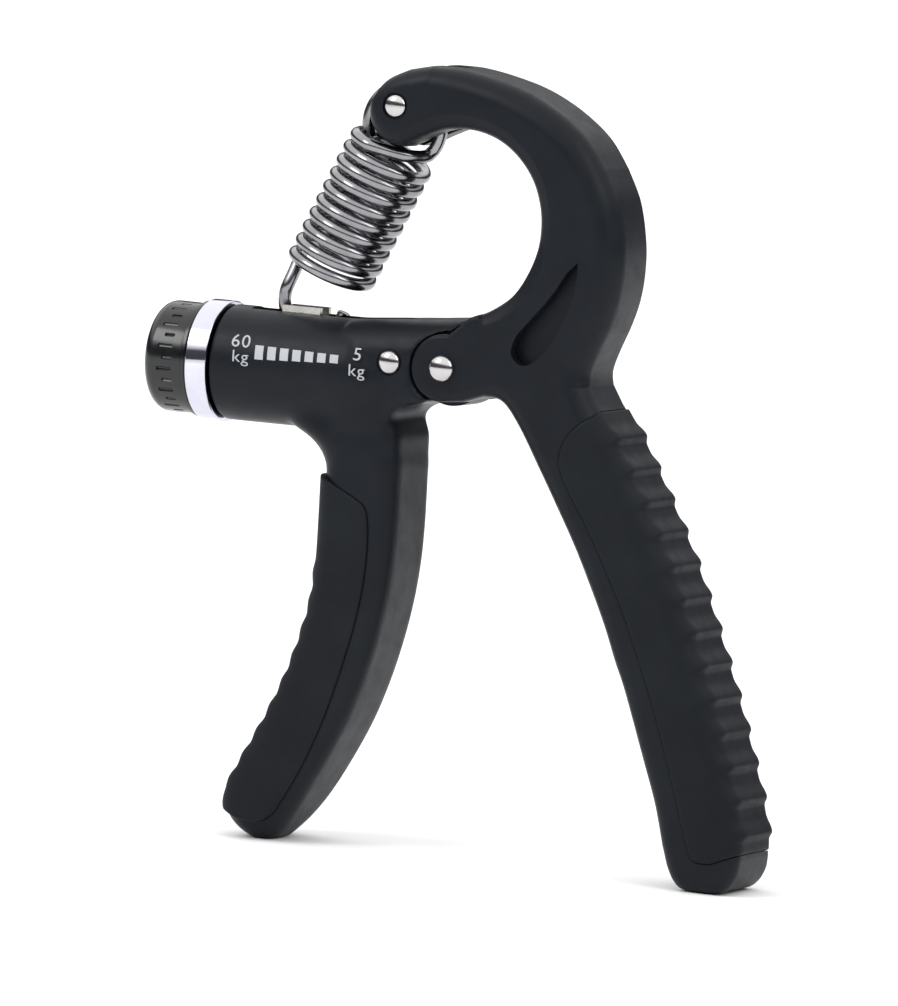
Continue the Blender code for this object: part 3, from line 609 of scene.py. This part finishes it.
def rear_pad():
    skin_run, lifts = ribbed(
        [(67.4, -87.4)] + [(x + 0.3, z + 0.1) for x, z in REAR_RIGHT] + [(30.4, -1.2)],
        13, 1.0, 0.03, 0.94, saw_ridge,
    )
    inner = [(22.0, -14.0)] + [(x - 4.0, z - 2.0) for x, z in REAR_SEAM[5:13]]
    inner += [(54.0, -93.0), (66.0, -92.6)]
    outline = inner + skin_run + [(24.0, -2.0)]
    rims = [(0.6, 0, 90)] * len(inner) + [(4.2, 0, 90)] * len(skin_run) + [(0.6, 0, 90)]
    obj = plate("rear_pad_raw", outline, PAD_HALF, rims, 10, lifts=[0.0] * len(inner) + lifts + [0.0])
    combine(obj, "INTERSECT", [plate("limit", inset(REAR_ZONE, 0.12), 16.0)])
    cut(obj, plate("room", inset(REAR_CORE, -GAP), CORE_HALF + GAP))
    melted(obj, 0.3, 3)
    return finished(obj, "rear_grip", "rear", "grip_rubber", ["rear_grip_pad"], 50)


rear_pad()


# ---------------------------------------------------------------- front handle


def level_section(low, high, half, low_radius, high_radius, per=8):
    """A closed section: low to high on its first axis, +-half on its second, with rounded corners."""
    points = []
    for sign_u, sign_v, start in ((-1, -1, 180), (1, -1, 270), (1, 1, 0), (-1, 1, 90)):
        radius = low_radius if sign_u < 0 else high_radius
        centre = ((low + radius) if sign_u < 0 else (high - radius), sign_v * (half - radius))
        points += arc(centre, radius, start, start + 90, per + 1)
    return points


def front_handle():
    lug = plate("front_raw", LUG_OUTLINE + arc((0, 0), EAR_R + 0.4, 246, 88, 50), HALF + 0.6)
    crown = [[(x, y, z) for z, y in level_section(-30.0, top, HALF, 1.0, 7.6, 12)] for x, top in LUG_CROWN]
    combine(lug, "INTERSECT", [skin("crown", crown)])
    sections = spline(LEVER, 5)
    lever = skin("lever", [[(x, y, z) for x, y in level_section(*rest)] for z, *rest in sections])
    barrel = turned(
        "barrel",
        [(BARREL_LEFT, 0), (BARREL_LEFT, BARREL_R - 0.4), (BARREL_LEFT + 0.4, BARREL_R), (-20.0, BARREL_R),
         (-10.5, 9.3), (-10.5, 0)],
        (0, 0, BARREL_Z), "X", 128,
    )
    tongue = plate("tongue", arc((0, 0), TONGUE_R, 0, 354, 60), TONGUE_HALF)
    join(lug, barrel, lever)

    def near_barrel(p):
        """Where the lever's faces run into the barrel."""
        across = max(0.0, min(1.0, (p.x + 40) / 6, (-5.2 - p.x) / 1.2))
        up = max(0.0, 1 - abs(p.z + 9.4) / 7.5)
        return across * min(1.0, 1.6 * up)

    melted(lug, 0.42, 3, near_barrel, 70)
    join(lug, tongue)
    cut(lug, cut(plate("zone", FRONT_ZONE, 14.0), plate("core", FRONT_CORE, CORE_HALF)))
    cross = (CROSS_RIVET[0], 0, CROSS_RIVET[1])
    cut(
        lug,
        rod("bore", BARREL_LEFT - 1, BORE_END, BORE_R, (0, 0, BARREL_Z), "X"),
        rod("bearing_seat", BARREL_LEFT - 1, -45.3, 8.2, (0, 0, BARREL_Z), "X"),
        rod("bush_seat", BORE_END - 1, -13.0, 3.8, (0, 0, BARREL_Z), "X"),
        box("nut_slot", (SLOT_LEFT, -SLOT_HALF, BARREL_Z), (BORE_END + 0.6, SLOT_HALF, 14.0)),
        box("run_out", (SLOT_LEFT, -SLOT_HALF, 3.4), (SLOT_RIGHT, SLOT_HALF, 14.0)),
        rod("pivot_hole", -20, 20, 1.75, (0, 0, 0), "Y"),
        rod("cross_hole", -20, 20, 1.35, cross, "Y"),
        rod("cross_seat_front", -13, -9.3, 2.6, cross, "Y"),
        rod("cross_seat_back", 9.3, 13, 2.6, cross, "Y"),
    )
    return finished(lug, "front_handle_shell", "front", "body_black", ["front_handle"], 30)


front_handle()


def front_pad():
    swollen = [(x - swell, z) for (x, z), swell in zip(FRONT_LEFT, PAD_SWELL)]
    run, lifts = ribbed([(-25.2, -21.6)] + swollen + [(-41.3, -90.6)], 9, 0.5, 0.24, 0.93, wave_ridge)
    inner = [(-36.0, -95.0), (-30.0, -93.0)] + [(x + 4.0, z) for x, z in reversed(FRONT_SEAM[4:13])]
    inner += [(-9.0, -22.0), (-16.0, -18.0)]
    rims = [(4.4, 0, 90)] * len(run) + [(0.6, 0, 90)] * len(inner)
    obj = plate("front_pad_raw", run + inner, PAD_HALF, rims, 10, lifts=lifts + [0.0] * len(inner))
    combine(obj, "INTERSECT", [plate("limit", inset(FRONT_ZONE, 0.12), 16.0)])
    cut(obj, plate("room", inset(FRONT_CORE, -GAP), CORE_HALF + GAP))
    melted(obj, 0.3, 3)
    return finished(obj, "front_grip", "front", "grip_rubber", ["front_grip_pad"], 50)


front_pad()


# ---------------------------------------------------------------- rivets


def rivet(name, place, shank, head, rise, seat, body):
    """One riveted pin: a domed head at each face, a small flat collar under it, and the shank between."""
    dome = [(seat + 0.12 + (rise - 0.12) * math.sin(a), head * math.cos(a))
            for a in (math.radians(5 * i) for i in range(18))]
    half = [(seat, shank), (seat, head - 0.1), (seat + 0.06, head)] + dome
    profile = [(-seat - rise, 0)] + [(-along, radius) for along, radius in reversed(half)]
    profile += half + [(seat + rise, 0)]
    obj = turned(name, profile, (place[0], 0, place[1]), "Y", 64)
    return finished(obj, name + "_riveted", body, "nickel", [name, name + "_cap"], 40)


rivet("pivot_rivet", (0, 0), 1.6, 2.6, 1.6, HALF + 0.05, "rear")
rivet("hook_pin", PIN, 1.3, 2.2, 1.2, HALF - 0.45, "rear")
rivet("cross_rivet", CROSS_RIVET, 1.3, 2.3, 1.5, 9.35, "front")


# ---------------------------------------------------------------- knob, ring and screw

AXIS = (0, 0, BARREL_Z)


def ring():
    profile = [(-53.4, 8.6), (-53.4, RING_R - 0.3), (-53.32, RING_R - 0.12), (-53.1, RING_R),
               (-49.25, RING_R), (-49.03, RING_R - 0.12), (-48.95, RING_R - 0.3), (-48.95, 8.6)]
    obj = turned("ring", profile, AXIS, "X", 160)
    return finished(obj, "chrome_band", "front", "chrome", ["chrome_ring"], 40)


ring()


def knob():
    rim = [(-60.8 - 2.4 * math.sin(a), KNOB_R - 2.4 + 2.4 * math.cos(a))
           for a in (math.radians(90 * i / 8) for i in range(9))]
    profile = [(-49.7, 2.6), (-49.7, 8.2), (-53.7, 8.2), (-53.7, KNOB_R + 0.35), (-53.85, KNOB_R + 0.5),
               (-54.5, KNOB_R + 0.5), (-54.65, KNOB_R + 0.35), (-54.8, KNOB_R - 0.15), (-56.0, KNOB_R - 0.05)]
    profile += rim + [(-63.2, 7.0), (-63.1, 6.9), (-62.65, 6.9), (-62.65, 4.1), (-56.0, 4.1), (-56.0, 2.6)]
    obj = turned("knob", profile, AXIS, "X", 120)
    grooves = bmesh.new()
    for i in range(30):
        long = i % 2 == 0
        groove = turned("groove", [(-60.0 if long else -59.0, 0), (-59.7 if long else -58.7, 0.42),
                                   (-56.9, 0.42), (-56.6, 0)], (0, 0, 0), "X", 12)
        turn = Matrix.Rotation(math.radians(12 * i + 4), 4, "X")
        groove.data.transform(
            Matrix.Translation(at(*AXIS)) @ turn @ Matrix.Translation(Vector((0, 0, (KNOB_R + 0.05) * MM)))
            @ Matrix.Translation(-at(0, 0, 0))
        )
        grooves.from_mesh(groove.data)
        bpy.data.objects.remove(groove, do_unlink=True)
    cut(obj, from_bmesh("grooves", grooves))
    finished(obj, "knob_body", "knob", "knob_black", ["adjusting_knob"], 28)
    cap = [(-62.95, 0), (-62.97, 3.0), (-63.1, 5.6), (-63.1, 6.2), (-63.05, 6.45), (-62.95, 6.6),
           (-62.7, 6.6), (-62.7, 0)]
    finished(turned("cap", cap, AXIS, "X", 96), "knob_end_disc", "knob", "knob_black", ["knob_end_cap"], 30)


knob()

for node, slot in (
    ("lead_screw", "screw_steel"), ("travelling_nut", "screw_steel"), ("nut_dowel", "screw_steel"),
    ("thrust_washer", "screw_steel"), ("retaining_clip", "screw_steel"), ("barrel_bearing", "nylon"),
    ("screw_end_bush", "nylon"), ("pin_sleeve", "nylon"),
):
    obj = frame["nodes"][node]
    for i in range(len(obj.material_slots)):
        obj.material_slots[i].material = LOOKS[slot]


# ---------------------------------------------------------------- spring

span = Vector((PIN[0] - DOWEL[0], PIN[1] - DOWEL[1]))
AXIS_LENGTH = span.length
ALONG = span.normalized()
ACROSS = Vector((-ALONG.y, ALONG.x))
COIL_TOP = COIL_START + COIL_PITCH * COIL_TURNS


def on_spring(s, across, depth=0.0):
    """A point s mm up the spring's axis from the dowel, `across` mm to its left and depth mm to the back."""
    return (DOWEL[0] + ALONG.x * s + ACROSS.x * across, depth, DOWEL[1] + ALONG.y * s + ACROSS.y * across)


def coil_point(turn):
    angle = -2 * math.pi * turn
    return on_spring(COIL_START + COIL_PITCH * turn, COIL_R * math.cos(angle), COIL_R * math.sin(angle))


def loop(centre, radius, start, stop, count):
    """A loop in the XZ plane; angles in degrees from the spring's left side, turning towards its foot."""
    angles = [math.radians(start + (stop - start) * i / (count - 1)) for i in range(count)]
    return [on_spring(centre - radius * math.sin(a), radius * math.cos(a)) for a in angles]


WIRE_SIDES = 20


def tube(name, points, radius):
    """A round wire through the points, with slightly rounded ends."""
    path = [Vector(p) for p in points]
    last = len(path) - 1
    tangents = [(path[min(i + 1, last)] - path[max(i - 1, 0)]).normalized() for i in range(len(path))]
    normal = tangents[0].orthogonal().normalized()
    rings = []
    for i, (point, tangent) in enumerate(zip(path, tangents)):
        normal = (normal - tangent * normal.dot(tangent)).normalized()
        other = tangent.cross(normal)
        sizes = [radius]
        places = [point]
        if i == 0:
            sizes, places = [radius * 0.8, radius], [point, point + tangent * 0.25 * radius]
        if i == last:
            sizes, places = [radius, radius * 0.8], [point - tangent * 0.25 * radius, point]
        for size, place in zip(sizes, places):
            rings.append(
                [tuple(place + (normal * math.cos(a) + other * math.sin(a)) * size)
                 for a in (2 * math.pi * k / WIRE_SIDES for k in range(WIRE_SIDES))]
            )
    return skin(name, rings)


def spring():
    eye_lead = [coil_point(COIL_TURNS - 0.01), coil_point(COIL_TURNS + 0.1), coil_point(COIL_TURNS + 0.2),
                on_spring(COIL_TOP + 1.1, -0.13 * COIL_R, -0.84 * COIL_R),
                on_spring(COIL_TOP + 1.8, -0.57 * COIL_R, -0.57 * COIL_R),
                on_spring(COIL_TOP + 2.6, -0.84 * COIL_R, -0.23 * COIL_R),
                on_spring(COIL_TOP + 3.4, -0.96 * COIL_R, -0.05 * COIL_R)]
    eye = spline(eye_lead, 6)[:-1] + loop(AXIS_LENGTH - EYE_DROP, COIL_R, 172, 410, 80)
    finished(tube("eye", eye, WIRE_R), "spring_eye_wire", "spring_top", "spring_steel", ["spring_eye"], 60)

    coils = [coil_point(i / 48) for i in range(round(COIL_TURNS * 48) + 1)]
    obj = tube("coils", coils, WIRE_R)
    finished(obj, "spring_coil_wire", None, "spring_steel", ["spring_coils"], 60)
    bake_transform(obj)

    hook_lead = [coil_point(0.01), on_spring(COIL_START - 0.7, COIL_R * 0.985, 1.5),
                 on_spring(COIL_START - 2.4, COIL_R * 0.95, 1.4),
                 on_spring(COIL_START - 4.6, COIL_R * 0.885, 0.6)]
    hook = spline(hook_lead + loop(HOOK_RISE, HOOK_R, 2, 190, 16), 6)
    obj = finished(tube("hook", hook, WIRE_R), "spring_hook_wire", None, "spring_steel", ["spring_hook"], 60)
    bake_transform(obj)


spring()


# ---------------------------------------------------------------- printed level scale

PRINT_LIFT = 0.03
PRINT_SLANT = 0.1  # the print's verticals lean towards the knob, this far for each mm of height


def on_barrel(x, z):
    """A point on the barrel's front, just proud of its surface."""
    radius = BARREL_R + PRINT_LIFT
    return at(x, -math.sqrt(radius ** 2 - (z - BARREL_Z) ** 2), z)


def wrap(shape, name):
    """Turns a flat print, drawn in x and z, into one that lies on the barrel."""
    bmesh.ops.triangulate(shape, faces=shape.faces)
    bmesh.ops.subdivide_edges(shape, edges=shape.edges, cuts=1, use_grid_fill=True)
    for vertex in shape.verts:
        x, _, z = (vertex.co - PIVOT) / MM
        vertex.co = on_barrel(x - PRINT_SLANT * z, z)
    obj = from_bmesh(name, shape)
    return finished(obj, name, "front", "body_black", (), 60, "print")


def printed_bars():
    shape = bmesh.new()
    for i in range(7):
        left = -39.0 + 2.65 * i
        top = 1.03 - 0.06 * i
        tall = 2.68 - 0.18 * i
        corners = [(left, top - tall), (left + 1.78, top - tall), (left + 1.78, top), (left, top)]
        shape.faces.new([shape.verts.new(at(x, -BARREL_R, z)) for x, z in corners])
    return wrap(shape, "printed_level_bars")


def printed_text(name, text, size, x, z):
    curve = bpy.data.curves.new(name, "FONT")
    curve.body, curve.size, curve.align_x, curve.align_y = text, size * MM, "CENTER", "CENTER"
    curve.space_character, curve.resolution_u = 1.1, 3
    holder = bpy.data.objects.new(name, curve)
    bpy.context.scene.collection.objects.link(holder)
    mesh = bpy.data.meshes.new_from_object(holder.evaluated_get(bpy.context.evaluated_depsgraph_get()))
    bpy.data.objects.remove(holder, do_unlink=True)
    widened = Matrix.Rotation(math.pi / 2, 4, "X") @ Matrix.Diagonal((1.18, 1, 1, 1))
    mesh.transform(Matrix.Translation(at(x, -BARREL_R, z)) @ widened)
    shape = bmesh.new()
    shape.from_mesh(mesh)
    return wrap(shape, name)


printed_bars()
printed_text("printed_60", "60", 3.4, -42.2, 1.4)
printed_text("printed_60_unit", "kg", 3.2, -42.1, -1.5)
printed_text("printed_5", "5", 3.4, -17.4, 1.05)
printed_text("printed_5_unit", "kg", 3.2, -17.4, -2.0)


# ---------------------------------------------------------------- stage


def floor():
    made, tree, shader, place = nodes_of("floor")
    cloud = noise(tree, place, 3, 2)
    tree.links.new(tinted(tree, cloud, (0.93, 0.93, 0.935), (0.95, 0.95, 0.95)), shader.inputs["Base Color"])
    shader.inputs["Roughness"].default_value = 0.9
    shader.inputs["Specular IOR Level"].default_value = 0.1
    shape = bmesh.new()
    bmesh.ops.create_grid(shape, x_segments=2, y_segments=2, size=120.0)
    obj = from_bmesh("floor", shape)
    obj.location.z = -0.0002
    obj.data.materials.append(made)


floor()


def world():
    """A soft studio dome: dark round the horizon, bright above it."""
    made = bpy.data.worlds.new("studio")
    made.use_nodes = True
    tree = made.node_tree
    back = tree.nodes["Background"]
    coord = tree.nodes.new("ShaderNodeTexCoord")
    split = tree.nodes.new("ShaderNodeSeparateXYZ")
    ramp = tree.nodes.new("ShaderNodeValToRGB")
    ramp.color_ramp.elements[0].position, ramp.color_ramp.elements[0].color = 0.0, (0.55, 0.55, 0.57, 1)
    ramp.color_ramp.elements[1].position, ramp.color_ramp.elements[1].color = 1.0, (1, 1, 1, 1)
    bands = ((0.02, (0.04, 0.04, 0.045, 1)), (0.28, (0.06, 0.06, 0.07, 1)), (0.42, (1, 1, 1, 1)))
    for position, colour in bands:
        ramp.color_ramp.elements.new(position).color = colour
    tree.links.new(coord.outputs["Generated"], split.inputs["Vector"])
    tree.links.new(split.outputs["Z"], ramp.inputs["Fac"])
    tree.links.new(ramp.outputs["Color"], back.inputs["Color"])
    back.inputs["Strength"].default_value = 1.5
    bpy.context.scene.world = made


world()


def softbox(name, place, aim, width, height, radiance):
    """An area light of that radiance, place and aim in metres."""
    light = bpy.data.lights.new(name, "AREA")
    light.shape, light.size, light.size_y = "RECTANGLE", width, height
    light.energy = radiance * math.pi * width * height
    obj = bpy.data.objects.new(name, light)
    bpy.context.scene.collection.objects.link(obj)
    obj.location = place
    obj.rotation_mode = "QUATERNION"
    obj.rotation_quaternion = (Vector(aim) - Vector(place)).to_track_quat("-Z", "Y")


centre = (cad_bounds[0] + cad_bounds[1]) / 2
softbox("key", centre + Vector((-0.55, -0.75, 0.75)), centre, 0.5, 0.5, 5.0)
softbox("rim", centre + Vector((0.75, -0.25, 0.6)), centre, 0.3, 0.6, 2.5)


def camera():
    """Azimuth and elevation of the view, its roll, and how the object sits in the picture."""
    azimuth, elevation, roll = (math.radians(angle) for angle in (24.0, 5.0, 3.8))
    back = Vector((math.sin(azimuth) * math.cos(elevation), -math.cos(azimuth) * math.cos(elevation),
                   math.sin(elevation)))
    level = Vector((math.cos(azimuth), math.sin(azimuth), 0))
    upright = back.cross(level)
    right = level * math.cos(roll) + upright * math.sin(roll)
    up = back.cross(right)
    lens = bpy.data.cameras.new("camera")
    distance, view_height = 2.0, 193.152 * MM
    lens.sensor_width = 36.0
    lens.lens = lens.sensor_width * distance / view_height
    lens.clip_start, lens.clip_end = 0.05, 500.0
    obj = bpy.data.objects.new("camera", lens)
    bpy.context.scene.collection.objects.link(obj)
    target = at(-0.87, 0, -26.4)
    facing = Matrix((right, up, back)).transposed().to_4x4()
    obj.matrix_world = Matrix.Translation(target + back * distance) @ facing
    bpy.context.scene.camera = obj


camera()
bpy.context.scene.view_settings.view_transform = "Standard"
